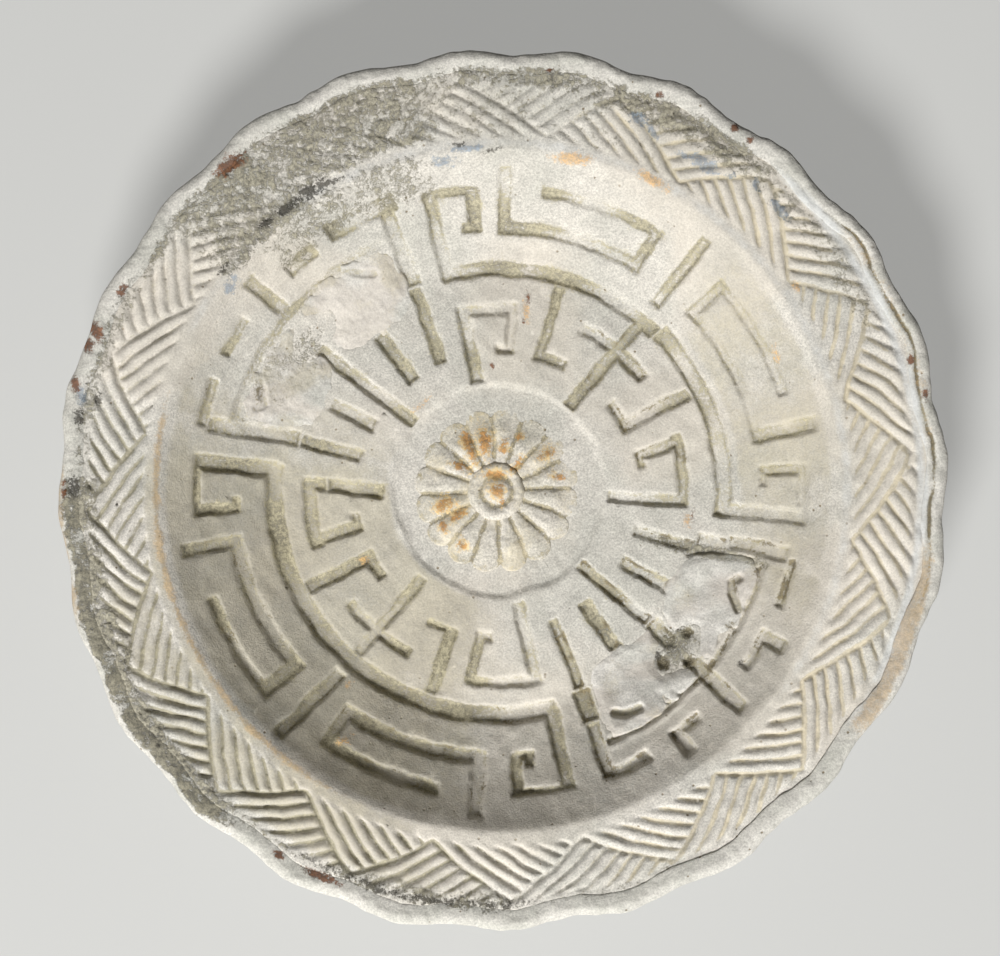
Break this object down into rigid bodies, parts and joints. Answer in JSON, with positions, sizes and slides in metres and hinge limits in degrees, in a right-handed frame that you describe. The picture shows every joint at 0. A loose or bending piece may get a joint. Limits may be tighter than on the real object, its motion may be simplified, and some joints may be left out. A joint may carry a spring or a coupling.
{
  "type": "ceramic dish",
  "caption": "Shallow round dish of matt fired clay with a scalloped lip, flat flange, pressed fret relief, petalled rosette and foot ring.",
  "frame": {"origin": "centre of the object's box in X and Y, at the table surface under the foot ring", "axes": "+Z up, out of the open side of the dish; +X to the right and +Y up as the dish is seen from above in the picture"},
  "size_m": [0.1608, 0.1592, 0.0268],
  "materials": {
    "body_clay": "matt, sandy, warm off-white",
    "foot_clay": "matt, worn, slightly darker",
    "lip_clay": "matt, smooth from handling, stained",
    "rosette_clay": "matt, with orange-brown stains",
    "wing_clay": "matt, smoother and paler than the body"
  },
  "bodies": {
    "root": {"dish_body": "body_clay", "foot_ring": "foot_clay", "lip_coil": "lip_clay", "rosette": "rosette_clay", "rosette_boss": "rosette_clay", "butterfly_right_upper_wing": "wing_clay", "butterfly_right_lower_wing": "wing_clay", "butterfly_left_upper_wing": "wing_clay", "butterfly_left_lower_wing": "wing_clay"}
  },
  "joints": []
}
